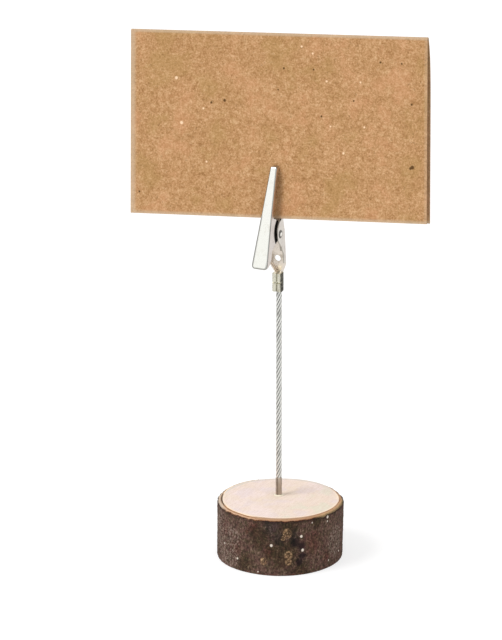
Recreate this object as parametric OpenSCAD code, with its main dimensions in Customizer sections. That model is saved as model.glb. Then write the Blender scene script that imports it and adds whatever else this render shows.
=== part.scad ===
// Place card holder: a sliced branch for a foot, a wire rope stem and an alligator clip with a folded card.
// Lengths are in millimetres. +Z is up, -Y is the front that the clip's lever faces, and +X is to the right.
// The origin lies under the stem, on the face that the slice of wood stands on.

/* [Slice of branch] */
// Width of the sawn wood inside its bark
wood_d = 33; // [26:0.1:60]
// Height of the slice
slice_h = 16.3; // [13:0.1:40]
// How far the middle of the wood lies to the right of the stem
stem_off_x = 1.7; // [0:0.05:5]
// How far the middle of the wood lies in front of the stem
stem_off_y = 2.35; // [0:0.05:5]
// Thickness of the brown inner bark
inner_bark_t = 0.5; // [0.3:0.05:1.2]
// Mean thickness of the dark outer bark
outer_bark_t = 0.85; // [0.7:0.05:2.5]
// Height of the broken edge at the top of the bark
bark_edge = 0.7; // [0.4:0.05:2]
// How far the outline of the slice strays from round
outline_stray = 0.4; // [0:0.05:0.6]
// Depth of the ridges in the bark
bark_relief = 0.12; // [0.05:0.01:0.2]

/* [Stem] */
// Height of the clip's lower end above the table
stem_h = 76.2; // [50:0.1:200]
// Width of the hole in the wood
socket_d = 2.3; // [2.1:0.05:4]
// Depth of the hole in the wood
socket_depth = 10; // [6:0.5:12]
// Thickness of the glue under the sleeve
glue_floor = 0.6; // [0.3:0.1:2]
// Width of the sleeve that is pressed on the lower end of the rope
sleeve_d = 1.75; // [1.65:0.05:2]
// Wall of the sleeve
sleeve_wall = 0.2; // [0.1:0.05:0.3]
// Length of sleeve that shows above the wood
sleeve_show = 5.3; // [2:0.1:12]
// Width of one strand of the rope
strand_d = 0.53; // [0.46:0.01:0.56]
// Length of rope in which a strand goes round once
rope_lay = 9; // [8:0.5:16]

/* [Clip] */
// Length of the clip from the lower end of its barrel to its nose
clip_len = 36.5; // [34:0.1:45]
// Thickness of the pressed sheet steel
sheet_t = 0.4; // [0.3:0.05:0.5]
// Width of the nose
nose_w = 2.1; // [1.6:0.1:2.4]
// Width of the front jaw where it bends
waist_w = 3.2; // [2.7:0.1:3.6]
// Width of the end of the lever
lever_w = 4.8; // [4.2:0.1:5.2]
// Height of the front jaw's bend above the barrel's lower end
bend_h = 23.9; // [23.5:0.1:25]
// Height of the lever's end above the barrel's lower end
lever_end_h = 9.7; // [9:0.1:11]
// Angle from upright of the front jaw above its bend
nose_lean = 20.1; // [19:0.1:22]
// Angle from upright of the lever
lever_lean = 18.9; // [15:0.1:21]
// Height of the pivot above the barrel's lower end
pivot_h = 17.8; // [17:0.1:18.3]
// How far the pivot lies in front of the stem
pivot_front = 4.5; // [4.2:0.1:4.8]
// Width of the pivot pin
pin_d = 1.2; // [0.9:0.05:1.3]
// Width of the pivot pin's heads
pin_head_d = 1.7; // [1.6:0.05:2.4]
// Gap between the ears of the two jaws
ear_gap = 0.2; // [0.15:0.05:0.5]
// Length of the crimped barrel
barrel_len = 5.2; // [4:0.1:5.5]
// Width of the round hole in the tail plate
tail_hole_d = 1.8; // [1:0.1:2.2]
// Thickness of the spring's wire
spring_wire = 0.36; // [0.25:0.01:0.38]

/* [Card] */
// Width of the card
card_w = 88.9; // [60:0.1:120]
// Height of the folded card
card_h = 50.8; // [35:0.1:80]
// Thickness of the board
board_t = 0.3; // [0.2:0.05:0.4]
// How far the middle of the card lies to the right of the clip
card_shift = 0.4; // [0:0.05:10]
// Angle by which the card leans back
card_lean = 12.15; // [11:0.05:13]
// Angle by which the right end of the card is raised
card_roll = 5.45; // [0:0.05:6]
// Gap between the two leaves at the ends of the card
leaf_spread = 2.2; // [0.5:0.1:4]
// Inner width of the fold
fold_gap = 0.4; // [0.2:0.05:1]

/* [Hidden] */
STRANDS = 6;
$fn = 48;

// Cuts run past the faces that they go through by this much
overrun = 1;
// Gap on each side of a pressed, glued or riveted joint
press_gap = 0.02;
// Gap on each side of a joint that turns
run_gap = 0.05;

// Slice of branch: every outline has the same points round the middle of the wood
outline_points = 72;
wood_centre = [stem_off_x, -stem_off_y];
outline_step = 360 / outline_points;
// Share of the stray that each swell of the outline takes
swell_shares = [0.8, 0.25, 0.15];
swell_sides = [-140, -70, 20];
// Direction in which the bark is thickest, and by what share
thick_side = 215;
thick_share = 0.1;
// Direction in which the foot of the bark draws in, and how far
draw_side = 25;
foot_draw = 0.4;
foot_edge = 0.2;
// What is left of the outer bark at the top of its broken edge
broken_t = 0.15;
ridges = [9, 23];
bark_levels = 6;

// Stem
socket_floor = slice_h - socket_depth;
sleeve_foot = socket_floor + glue_floor;
sleeve_top = slice_h + sleeve_show;
sleeve_bore_r = sleeve_d / 2 - sleeve_wall;
// Strands lie side by side on this circle, with a hair between them
lay_share = 1.105;
lay_r = strand_d * lay_share;
rope_r = lay_r + strand_d / 2;
core_r = lay_r - strand_d / 2 - press_gap;
rope_free = stem_h - sleeve_top;
rope_turns = rope_free / rope_lay;
lay_stretch = sqrt(1 + pow(2 * PI * lay_r / rope_lay, 2));
strand_sides = 8;
steps_per_turn = 8;

// Clip: places are [distance behind the stem, height above the table]
nose_z = stem_h + clip_len;
pivot = [-pivot_front, stem_h + pivot_h];
// The nose's teeth meet the card just under its closed end
grip_z = nose_z - sheet_t;
grip_gap = 0.05;
// How far the front of the card lies in front of the stem at the nose, and the depth of each jaw's nose
nose_front = 1.9;
front_nose_depth = 1.7;
rear_nose_depth = 1.05;
nose_corner = 0.6;
nose_bevel = 0.2;
bend_z = stem_h + bend_h;
lever_end_z = stem_h + lever_end_h;
lever_corner = 1;
// Depth of the lever's walls, of its lip and of the flange beside the nose
lever_wall = 2.4;
lever_lip = 0.7;
flange_depth = 1.25;
lever_wall_foot = 2.2;
// Ears: radius of the front jaw's round the pin, and how far they rise above it and start below it
front_ear_r = 1.6;
ear_rise = 3.9;
ear_top_z = pivot[1] + ear_rise;
ear_step = 1.1;
ear_start = 3.5;
// The rear jaw's ears end in a long arc, whose centre lies behind and above the pin
ear_arc_r = 3.85;
ear_arc_centre = [pivot[0] + 2.15, pivot[1] + 0.2];
// Rear jaw: how far its bend, the foot of its tail plate and the hole lie in front of the stem and above
// the lower end of the barrel
rear_bend_front = 1.73;
rear_bend_h = 21.1;
tail_foot_front = 0.4;
tail_foot_h = 8.3;
tail_hole_h = 9.5;
rear_bend = [-rear_bend_front, stem_h + rear_bend_h];
tail_foot = [-tail_foot_front, stem_h + tail_foot_h];
tail_hole_z = stem_h + tail_hole_h;
tail_wall = 1.55;
tail_corner_share = 0.35;
neck_h = 1.9;
neck_share = 0.7;
// Share of the way to the tail plate's full width that the neck has widened at its bend
neck_swell_share = 0.5;
barrel_top = stem_h + barrel_len;
barrel_r = rope_r + press_gap + sheet_t;
// The neck starts inside the round of the barrel
neck_r = barrel_r * neck_share;
lobe_share = 0.56;
lobe_r = barrel_r * lobe_share;
lobe_sink = 0.1;
lobe_front = barrel_r - lobe_sink;
crimp_seam = 0.12;
crimp_waist = 0.45;
teeth = 6;
tooth_depth = 0.28;
toothed_share = 0.55;
pin_head_t = 0.25;

// Card
leaf_pinch = 0.1;
card_rest_gap = 0.35;
rear_edge_gap = 0.35;
fold_r = board_t + fold_gap / 2;
fold_steps = 6;
leaf_rows = 6;
side_cols = 8;
// The leaves lie flat on each other this far to each side of the clip
leaf_flat = 2.6;
// From there they part over this much of the card's width and height
part_w = 16;
part_h = 5;
pack_t = 2 * board_t + leaf_pinch;

// A point on a circle that lies in the Y-Z plane
function ring(c, r, a) = [c[0] + r * cos(a), c[1] + r * sin(a)];
function mix(a, b, share) = a + (b - a) * share;
function slope(p, q, z) = mix(p[0], q[0], (z - p[1]) / (q[1] - p[1]));

// Outline of the slice, as a radius at each angle
function swell(a) =
    swell_shares[0] * sin(2 * a + swell_sides[0])
    + swell_shares[1] * sin(3 * a + swell_sides[1])
    + swell_shares[2] * sin(5 * a + swell_sides[2]);
function wood_r(a) = wood_d / 2 + outline_stray * swell(a);
function bark_in_r(a) = wood_r(a) + inner_bark_t;
function ridge(a, z) =
    bark_relief * (sin(ridges[0] * a + 180 * z / slice_h) + sin(ridges[1] * a - 120 * z / slice_h)) / 2;
function bark_out_r(a, z) =
    bark_in_r(a) + outer_bark_t * (1 + thick_share * cos(a - thick_side)) + ridge(a, z)
    - foot_draw * (1 - z / slice_h) * (1 + cos(a - draw_side)) / 2;
function polar(r, a) = [wood_centre[0] + r * cos(a), wood_centre[1] + r * sin(a)];
function outline(extra) = [
    for (i = [0 : outline_points - 1]) polar(wood_r(i * outline_step) + extra, i * outline_step)
];

// Front jaw: its face and its half width at a height
front_tip = [-nose_front - front_nose_depth, nose_z];
front_bend = [front_tip[0] - (nose_z - bend_z) * tan(nose_lean), bend_z];
front_end = [front_bend[0] - (bend_z - lever_end_z) * tan(lever_lean), lever_end_z];
function front_y(z) = z > bend_z ? slope(front_bend, front_tip, z) : slope(front_end, front_bend, z);
function front_half(z) =
    z > bend_z
        ? slope([waist_w / 2, bend_z], [nose_w / 2, nose_z], z)
        : slope([lever_w / 2, lever_end_z], [waist_w / 2, bend_z], z);

// Rear jaw: its back and its half width, which leaves room for the front jaw's ears
card_back = -nose_front + pack_t / cos(card_lean);
rear_tip = [card_back + grip_gap + rear_nose_depth, nose_z];
rear_half = front_half(pivot[1]) + ear_gap + sheet_t;
function rear_y(z) = z > rear_bend[1] ? slope(rear_bend, rear_tip, z) : slope(tail_foot, rear_bend, z);
function card_back_y(z) = card_back - (grip_z - z) * tan(card_lean);

// A row of teeth on the way from one point to another, with the valleys set off sideways
function toothed(p, q, side) = [
    for (i = [0 : 2 * teeth])
        mix(p, q, mix(1 - toothed_share, 1, i / (2 * teeth))) + [side * (i % 2) * tooth_depth, 0]
];

flange_z = ear_top_z + 2 * ear_step;
front_profile = concat(
    [front_tip, front_bend, front_end, front_end + [lever_lip, 0]],
    [[front_y(lever_end_z + lever_wall_foot) + lever_wall, lever_end_z + lever_wall_foot]],
    [[front_y(pivot[1] - ear_start) + lever_wall, pivot[1] - ear_start]],
    [for (a = [250 : 15 : 430]) ring(pivot, front_ear_r, a)],
    [[pivot[0], ear_top_z], [front_y(flange_z) + flange_depth, ear_top_z + ear_step]],
    [[front_y(flange_z) + flange_depth, flange_z]],
    toothed([front_y(flange_z) + flange_depth, flange_z], [-nose_front - grip_gap, grip_z], -1),
    [[-nose_front - grip_gap - nose_bevel, nose_z]]
);

rear_edge = [card_back_y(ear_top_z + card_rest_gap) + rear_edge_gap, ear_top_z + card_rest_gap];
rear_profile = concat(
    [rear_tip, rear_bend, tail_foot, [0, barrel_top + neck_h], [neck_r, barrel_top]],
    [[neck_r, barrel_top - sheet_t], [-lobe_r, barrel_top - sheet_t]],
    [[tail_foot[0] - tail_wall / 2, barrel_top + neck_h]],
    [[tail_foot[0] - tail_wall, tail_foot[1] + sheet_t]],
    [[tail_foot[0] - tail_wall - sheet_t, mix(tail_foot[1], pivot[1], tail_corner_share)]],
    [for (a = [235 : -15 : 130]) ring(ear_arc_centre, ear_arc_r, a)],
    [rear_edge],
    toothed(rear_edge, [card_back + grip_gap, grip_z], 1),
    [[card_back + grip_gap + nose_bevel, nose_z]]
);

// Spring: a coil round the pin whose two legs press on the lever and on the tail plate
spring_turns = 3;
spring_sides = 6;
spring_steps = 8;
spring_play = 0.15;
// How far below the pivot each leg ends, and the share of the wire that keeps it clear of the sheet
lever_leg_drop = 4.8;
tail_leg_drop = 5.8;
leg_share = 0.55;
coil_r = pin_d / 2 + spring_play + spring_wire / 2;
leg_clear = press_gap + spring_wire * leg_share;
lever_leg = [
    front_y(pivot[1] - lever_leg_drop) + (sheet_t + leg_clear) / cos(lever_lean),
    pivot[1] - lever_leg_drop
];
tail_leg = [rear_y(pivot[1] - tail_leg_drop) - sheet_t - leg_clear, pivot[1] - tail_leg_drop];
function bearing(p) = atan2(p[1] - pivot[1], p[0] - pivot[0]);
function leave(p) = acos(coil_r / norm(p - pivot));
coil_start = bearing(lever_leg) - leave(lever_leg) + 360;
coil_end = bearing(tail_leg) + leave(tail_leg) - 360 * (spring_turns - 1);
coil_span = (coil_start - coil_end) / 360;
coil_room = 2 * (front_half(pivot[1] + coil_r) - sheet_t - run_gap) - spring_wire;
coil_rings = ceil(coil_span * spring_steps);
function coil_point(share) =
    let (a = mix(coil_start, coil_end, share), c = ring(pivot, coil_r, a))
    [coil_room * (share - 0.5), c[0], c[1]];
spring_path = concat(
    [[-coil_room / 2, lever_leg[0], lever_leg[1]]],
    [for (i = [0 : coil_rings]) coil_point(i / coil_rings)],
    [[coil_room / 2, tail_leg[0], tail_leg[1]]]
);
spring_gap = min([
    for (i = [0 : coil_rings], j = [0 : coil_rings])
        if (j - i > spring_steps / 2) norm(coil_point(j / coil_rings) - coil_point(i / coil_rings))
]) - spring_wire;
echo(str("least gap from the spring to itself: ", spring_gap));

// Card: places are [across, through, up] from the middle of its lower edge, and the front leaf is flat
card_foot =
    (grip_z - ear_top_z - card_rest_gap) / cos(card_lean) / cos(card_roll)
    - rear_half * tan(card_roll);
function apart(x) =
    let (off = max(0, abs(x + card_shift) - leaf_flat))
    1 - 1 / (1 + pow(off / part_w, 2));
function leaf_gap(x, up) =
    let (down = card_h - fold_r - up)
    mix(
        mix(fold_gap, leaf_pinch, min(1, down / (card_h - fold_r - card_foot))),
        mix(fold_gap, leaf_spread, 1 - exp(-down / part_h)),
        apart(x)
    );
// Rows of points on a leaf, from the fold down past the nose, and columns from left to right
leaf_heights = concat(
    [for (i = [1 : leaf_rows]) mix(card_h - fold_r, card_foot, i / leaf_rows)],
    [card_foot / 2, 0]
);
col_power = 1.4;
card_columns = concat(
    [for (i = [side_cols : -1 : 0]) mix(-card_shift - leaf_flat, -card_w / 2, pow(i / side_cols, col_power))],
    [for (i = [0 : side_cols]) mix(-card_shift + leaf_flat, card_w / 2, pow(i / side_cols, col_power))]
);
function leaf_pair(x, up) = [[2 * board_t + leaf_gap(x, up), up], [board_t + leaf_gap(x, up), up]];
function fold_pair(a) = [
    [fold_r - fold_r * cos(a), card_h - fold_r + fold_r * sin(a)],
    [fold_r - (fold_r - board_t) * cos(a), card_h - fold_r + (fold_r - board_t) * sin(a)]
];
function card_pairs(x) = concat(
    [[[0, 0], [board_t, 0]]],
    [for (i = [0 : fold_steps]) fold_pair(180 * i / fold_steps)],
    [for (up = leaf_heights) leaf_pair(x, up)]
);
function card_ring(x) =
    let (pairs = card_pairs(x), last = len(pairs) - 1)
    concat(
        [for (p = pairs) [x, p[0][0], p[0][1]]],
        [for (i = [last : -1 : 0]) [x, pairs[i][1][0], pairs[i][1][1]]]
    );

// The skin between rings of points that follow each other, as triangles
function skin(rings, sides, closed) = [
    for (i = [0 : rings - (closed ? 1 : 2)], j = [0 : sides - 1])
        let (
            a = i * sides + j,
            b = i * sides + (j + 1) % sides,
            c = (i + 1) % rings * sides + j,
            d = (i + 1) % rings * sides + (j + 1) % sides
        )
        each [[a, c, b], [b, c, d]]
];

// Draws a Y-Z outline right through from left to right
module across(points, width) {
    rotate([90, 0, 90])
        linear_extrude(width, center = true)
            polygon(points);
}

// Draws an X-Z outline through from front to back
module through(points) {
    rotate([90, 0, 0])
        linear_extrude(4 * clip_len, center = true)
            polygon(points);
}

// The X-Z outline of a jaw from half widths at heights, with round corners at the top
function jaw_half(steps, less, corner) = concat(
    [for (s = steps) [s[0] - less, s[1]]],
    [
        for (a = [0 : 15 : 90])
            let (top = steps[len(steps) - 1])
            [top[0] - less - corner + corner * cos(a), top[1] + corner * sin(a)]
    ]
);
function both_sides(half) = concat(half, [for (i = [len(half) - 1 : -1 : 0]) [-half[i][0], half[i][1]]]);

module outer_bark() {
    sections = [
        for (i = [0 : outline_points - 1])
            let (a = i * outline_step, side_top = slice_h - bark_edge)
            each concat(
                [[polar(bark_in_r(a), a), 0]],
                [[polar(max(bark_in_r(a) + broken_t, bark_out_r(a, 0) - foot_edge), a), 0]],
                [
                    for (k = [0 : bark_levels])
                        let (z = mix(foot_edge, side_top, k / bark_levels))
                        [polar(bark_out_r(a, z), a), z]
                ],
                [[polar(bark_in_r(a) + broken_t, a), slice_h], [polar(bark_in_r(a), a), slice_h]]
            )
    ];
    color("#4a3b33")
        polyhedron(
            [for (s = sections) [s[0][0], s[0][1], s[1]]],
            skin(outline_points, bark_levels + 5, true)
        );
}

module inner_bark() {
    color("#a9764a")
        linear_extrude(slice_h)
            difference() {
                polygon(outline(inner_bark_t));
                polygon(outline(0));
            }
}

module wood_disc() {
    color("#f0dfd0")
        difference() {
            linear_extrude(slice_h) polygon(outline(0));
            translate([0, 0, socket_floor]) cylinder(h = socket_depth + overrun, d = socket_d);
        }
}

module glue_cup() {
    color("#efe2b8")
        translate([0, 0, socket_floor])
            difference() {
                cylinder(h = socket_depth, r = socket_d / 2 - press_gap);
                translate([0, 0, glue_floor]) cylinder(h = socket_depth, r = sleeve_d / 2 + press_gap);
            }
}

module end_sleeve() {
    color("#8f8a84")
        translate([0, 0, sleeve_foot])
            difference() {
                cylinder(h = sleeve_top - sleeve_foot, d = sleeve_d);
                translate([0, 0, -overrun])
                    cylinder(h = sleeve_top - sleeve_foot + 2 * overrun, r = sleeve_bore_r);
            }
}

// The rope's core wire, and its two ends where all the strands are pressed into one
module rope_core() {
    color("#b9bcbf") {
        cylinder_between(sleeve_foot, sleeve_top, sleeve_bore_r - press_gap);
        cylinder_between(sleeve_top, stem_h, core_r);
        cylinder_between(stem_h, barrel_top - sheet_t, rope_r);
    }
}

module cylinder_between(from, to, r) {
    translate([0, 0, from]) cylinder(h = to - from, r = r);
}

module rope_strand(i) {
    color("#c9cccf")
        translate([0, 0, sleeve_top])
            rotate([0, 0, 360 * i / STRANDS])
                linear_extrude(
                    rope_free, twist = -360 * rope_turns,
                    slices = ceil(steps_per_turn * rope_turns), $fn = strand_sides
                )
                    translate([lay_r, 0])
                        scale([1, lay_stretch])
                            circle(d = strand_d, $fn = strand_sides);
}

module rear_jaw() {
    steps = [
        [neck_r, barrel_top - 2 * sheet_t],
        [neck_r, barrel_top],
        [mix(barrel_r, rear_half, neck_swell_share), barrel_top + neck_h],
        [rear_half, tail_foot[1] + sheet_t],
        [rear_half, pivot[1] + sheet_t],
        [nose_w / 2, nose_z - nose_corner]
    ];
    hollow = [
        [rear_tip[0] - sheet_t, nose_z],
        [rear_bend[0] - sheet_t, rear_bend[1]],
        [tail_foot[0] - sheet_t, tail_foot[1]],
        [-sheet_t, barrel_top + neck_h],
        [neck_r - sheet_t, barrel_top],
        [-clip_len, barrel_top],
        [-clip_len, nose_z]
    ];
    color("#d9d3c8")
        difference() {
            union() {
                difference() {
                    intersection() {
                        across(rear_profile, 2 * clip_len);
                        through(both_sides(jaw_half(steps, 0, nose_corner)));
                    }
                    intersection() {
                        across(hollow, 2 * clip_len);
                        through(both_sides(jaw_half(steps, sheet_t, nose_corner - sheet_t)));
                    }
                }
                barrel();
            }
            translate([0, pivot[0], pivot[1]])
                rotate([0, 90, 0])
                    cylinder(h = 4 * rear_half, r = pin_d / 2 + press_gap, center = true);
            translate([0, 0, tail_hole_z])
                rotate([90, 0, 0])
                    cylinder(h = 4 * barrel_r, d = tail_hole_d, center = true);
        }
}

// The barrel's two wings are curled round the end of the rope and meet in front
module barrel() {
    translate([0, 0, stem_h])
        difference() {
            linear_extrude(barrel_len)
                polygon(concat(
                    [for (a = [0 : 15 : 180]) [barrel_r * cos(a), barrel_r * sin(a)]],
                    [for (a = [180 : 30 : 330]) [-lobe_r + lobe_r * cos(a), -lobe_front + lobe_r * sin(a)]],
                    [[0, -lobe_front]],
                    [for (a = [210 : 30 : 360]) [lobe_r + lobe_r * cos(a), -lobe_front + lobe_r * sin(a)]]
                ));
            translate([0, 0, -overrun])
                cylinder(h = barrel_len + 2 * overrun, r = rope_r + press_gap);
            translate([-crimp_seam / 2, -2 * barrel_r, -overrun])
                cube([crimp_seam, 2 * barrel_r, barrel_len + 2 * overrun]);
            translate([-2 * barrel_r, -lobe_front - 2 * barrel_r, (barrel_len - crimp_waist) / 2])
                cube([4 * barrel_r, 2 * barrel_r, crimp_waist]);
        }
}

module front_jaw() {
    steps = [
        [lever_w / 2 - lever_corner, lever_end_z],
        for (a = [-75 : 15 : 0])
            [lever_w / 2 - lever_corner + lever_corner * cos(a), lever_end_z + lever_corner * (1 + sin(a))],
        [waist_w / 2, bend_z],
        [nose_w / 2, nose_z - nose_corner]
    ];
    hollow = [
        [front_tip[0] + sheet_t, nose_z],
        [front_bend[0] + sheet_t, bend_z],
        [front_end[0] + sheet_t, lever_end_z],
        [front_end[0] + sheet_t, lever_end_z - overrun],
        [clip_len, lever_end_z - overrun],
        [clip_len, nose_z]
    ];
    // The hollow runs out at the lever's end, which has no wall of its own
    hollow_steps = concat(
        [[steps[6][0], lever_end_z - overrun]],
        [for (i = [6 : len(steps) - 1]) steps[i]]
    );
    color("#e4dfd6")
        difference() {
            intersection() {
                across(front_profile, 2 * clip_len);
                through(both_sides(jaw_half(steps, 0, nose_corner)));
            }
            intersection() {
                across(hollow, 2 * clip_len);
                through(both_sides(jaw_half(hollow_steps, sheet_t, nose_corner - sheet_t)));
            }
            translate([0, pivot[0], pivot[1]])
                rotate([0, 90, 0])
                    cylinder(h = 4 * rear_half, r = pin_d / 2 + run_gap, center = true);
        }
}

module pivot_pin() {
    head_in = rear_half + press_gap;
    color("#c4beb4")
        translate([0, pivot[0], pivot[1]])
            rotate([0, 90, 0])
                rotate_extrude()
                    polygon([
                        [0, -head_in - pin_head_t],
                        [pin_head_d / 2 - pin_head_t / 2, -head_in - pin_head_t],
                        [pin_head_d / 2, -head_in - pin_head_t / 2],
                        [pin_head_d / 2, -head_in],
                        [pin_d / 2, -head_in],
                        [pin_d / 2, head_in],
                        [pin_head_d / 2, head_in],
                        [pin_head_d / 2, head_in + pin_head_t / 2],
                        [pin_head_d / 2 - pin_head_t / 2, head_in + pin_head_t],
                        [0, head_in + pin_head_t]
                    ]);
}

// The wire is one tube, whose rings stand square to the way from the point before to the point after
module jaw_spring() {
    last = len(spring_path) - 1;
    rings = [
        for (i = [0 : last])
            let (
                way = spring_path[min(last, i + 1)] - spring_path[max(0, i - 1)],
                t = way / norm(way),
                u = cross(t, [1, 0, 0]) / norm(cross(t, [1, 0, 0])),
                v = cross(t, u)
            )
            for (k = [0 : spring_sides - 1])
                let (a = 360 * k / spring_sides)
                spring_path[i] + (u * cos(a) + v * sin(a)) * spring_wire / 2
    ];
    color("#a8a29a")
        polyhedron(
            rings,
            concat(
                skin(last + 1, spring_sides, false),
                [for (k = [1 : spring_sides - 2]) [0, k, k + 1]],
                [
                    for (k = [1 : spring_sides - 2])
                        [last * spring_sides, last * spring_sides + k + 1, last * spring_sides + k]
                ]
            )
        );
}

module place_card() {
    points = [for (x = card_columns) each card_ring(x)];
    sides = len(card_ring(0));
    last = len(points) - sides;
    color("#c8a073")
        translate([0, -nose_front, grip_z])
            rotate([-card_lean, 0, 0])
                rotate([0, -card_roll, 0])
                    translate([card_shift, 0, -card_foot])
                        polyhedron(
                            points,
                            concat(
                                skin(len(card_columns), sides, false),
                                [
                                    for (k = [0 : sides / 2 - 2])
                                        each [
                                            [k, k + 1, sides - 1 - k],
                                            [k + 1, sides - 2 - k, sides - 1 - k]
                                        ]
                                ],
                                [
                                    for (k = [0 : sides / 2 - 2])
                                        each [
                                            [last + k, last + sides - 1 - k, last + k + 1],
                                            [last + k + 1, last + sides - 1 - k, last + sides - 2 - k]
                                        ]
                                ]
                            )
                        );
}

outer_bark();
inner_bark();
wood_disc();
glue_cup();
end_sleeve();
rope_core();
for (i = [1 : STRANDS])
    rope_strand(i);
rear_jaw();
front_jaw();
pivot_pin();
jaw_spring();
place_card();
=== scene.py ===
# %% [markdown]
# # A place card holder
# The object is a slice of branch, a stem of wire rope and a small spring clip that grips a folded kraft
# card. Its solids were made elsewhere, in real sizes, and are loaded here as a fixed frame. This lesson
# dresses them: some solids stay and get a finish, others are replaced by a finer piece in the same place.
# Every length is in metres, and MM turns the millimetres of a drawing into them.

# %% The frame
import math
from contextlib import contextmanager
from functools import cached_property

import bmesh
import bpy
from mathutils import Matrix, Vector, noise


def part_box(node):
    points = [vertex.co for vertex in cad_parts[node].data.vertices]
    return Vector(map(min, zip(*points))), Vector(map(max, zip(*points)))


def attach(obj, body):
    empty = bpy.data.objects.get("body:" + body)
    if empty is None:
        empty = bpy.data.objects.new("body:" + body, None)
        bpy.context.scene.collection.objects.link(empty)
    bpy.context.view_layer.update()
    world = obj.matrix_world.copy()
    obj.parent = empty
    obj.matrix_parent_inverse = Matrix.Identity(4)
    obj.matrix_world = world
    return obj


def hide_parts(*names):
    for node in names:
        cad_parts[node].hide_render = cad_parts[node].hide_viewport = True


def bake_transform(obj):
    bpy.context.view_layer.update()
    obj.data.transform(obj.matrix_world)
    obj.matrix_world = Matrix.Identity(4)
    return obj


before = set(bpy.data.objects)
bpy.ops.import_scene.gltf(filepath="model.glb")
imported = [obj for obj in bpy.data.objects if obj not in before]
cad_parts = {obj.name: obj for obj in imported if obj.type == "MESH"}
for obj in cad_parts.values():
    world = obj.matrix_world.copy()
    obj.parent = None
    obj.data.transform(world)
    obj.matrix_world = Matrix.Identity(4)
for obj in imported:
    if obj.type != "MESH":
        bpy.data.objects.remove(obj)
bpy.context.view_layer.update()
MM = 0.001

# %% [markdown]
# ## Writing node trees as sums
# A shader or a Geometry Nodes tree is a sum drawn as boxes. Written out link by link, the sum is hidden. So
# one small class stands for a socket and knows plus, minus, times and over. An expression on sockets then
# adds its own Math nodes, and any other node comes from one method.

# %% Sockets that can be added and multiplied
def operator(operation, turned=False):
    """A method that adds a Math node. A turned one is called when its socket is the second of the pair."""
    def add_node(self, other):
        return self.net.maths(operation, *((other, self) if turned else (self, other)))
    return add_node


class Socket:
    """The output of a node, with operators that add Math nodes behind it."""

    def __init__(self, net, output):
        self.net = net
        self.output = output

    def __getitem__(self, name):
        return Socket(self.net, self.output.node.outputs[name])

    __add__ = operator("ADD")
    __radd__ = operator("ADD", True)
    __sub__ = operator("SUBTRACT")
    __rsub__ = operator("SUBTRACT", True)
    __mul__ = operator("MULTIPLY")
    __rmul__ = operator("MULTIPLY", True)
    __truediv__ = operator("DIVIDE")

    def between(self, low, high):
        """0 before low, 1 from high on, with a soft step between them. High may lie below low."""
        span = (low, high, 0, 1) if low < high else (high, low, 1, 0)
        return self.net.node("ShaderNodeMapRange", {"interpolation_type": "SMOOTHSTEP"}, self, *span)


class Net:
    """A node tree that is filled by expressions. A colour can be given by its code, like e8d0a0."""

    def __init__(self, tree):
        self.tree = tree

    def node(self, kind, settings=None, *values, **named):
        """Adds a node: first its settings, then the values or links of its sockets, in order or by name."""
        made = self.tree.nodes.new(kind)
        for key, value in (settings or {}).items():
            if key == "stops":
                self.set_stops(made.color_ramp, value)
            else:
                setattr(made, key, value)
        live = [s for s in made.inputs if s.enabled]
        by_name = {s.name: s for s in reversed(live)}
        for place, value in [*enumerate(values), *named.items()]:
            if value is None:
                continue
            socket = live[place] if isinstance(place, int) else by_name[place.replace("_", " ")]
            if isinstance(value, Socket):
                self.tree.links.new(value.output, socket)
            else:
                socket.default_value = colour(value) if isinstance(value, str) else value
        shown = [s for s in made.outputs if s.enabled]
        return Socket(self, shown[0]) if shown else None

    def set_stops(self, ramp, stops):
        while len(ramp.elements) < len(stops):
            ramp.elements.new(0.5)
        for element, (place, code) in zip(ramp.elements, stops):
            element.position = place
            element.color = colour(code)

    def ramp(self, value, *stops):
        return self.node("ShaderNodeValToRGB", {"stops": stops}, value)

    def maths(self, operation, *values):
        return self.node("ShaderNodeMath", {"operation": operation}, *values)

    def far(self, a, b):
        """How far from zero a point is, given its two distances."""
        return self.maths("SQRT", a * a + b * b)

    def mix(self, share, first, second, blend="MIX"):
        settings = {"data_type": "RGBA", "blend_type": blend}
        return self.node("ShaderNodeMix", settings, share, first, second)

    def coats(self, base, *coats):
        """Lays coats over a base: each is a share, a colour and, if need be, the way it blends."""
        for share, coat, *blend in coats:
            base = self.mix(share, base, coat, *blend)
        return base

    @cached_property
    def place(self):
        return self.node("ShaderNodeTexCoord")["Object"]

    def parts(self, spot=None):
        return self.node("ShaderNodeSeparateXYZ", None, spot or self.place)

    def join(self, x, y, z):
        return self.node("ShaderNodeCombineXYZ", None, x, y, z)

    def length(self, spot):
        return self.node("ShaderNodeVectorMath", {"operation": "LENGTH"}, spot)["Value"]

    def layer(self, name):
        """The numbers that a mesh carries under this name."""
        return self.node("ShaderNodeAttribute", {"attribute_name": name})["Fac"]

    def noise(self, scale, detail, roughness, stretch=None, turn=(0, 0, 0), at=None):
        at = at or self.place
        if stretch:
            at = self.node("ShaderNodeMapping", None, at, Scale=stretch, Rotation=turn)
        return self.node("ShaderNodeTexNoise", None, at, Scale=scale, Detail=detail, Roughness=roughness)

    def flat_from(self, x, y):
        """The place as seen from above, counted from a point in millimetres."""
        shift = (-x * MM, -y * MM, 0)
        return self.node("ShaderNodeMapping", None, self.place, Location=shift, Scale=(1, 1, 0))

    def bump(self, height, strength, depth):
        return self.node("ShaderNodeBump", None, Strength=strength, Distance=depth, Height=height)


def colour(code):
    """A colour as it looks on a screen, like e8d0a0, as the linear values that a shader takes."""
    parts = [int(code[i : i + 2], 16) / 255 for i in (0, 2, 4)]
    return (*[p / 12.92 if p <= 0.04045 else ((p + 0.055) / 1.055) ** 2.4 for p in parts], 1)


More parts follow.
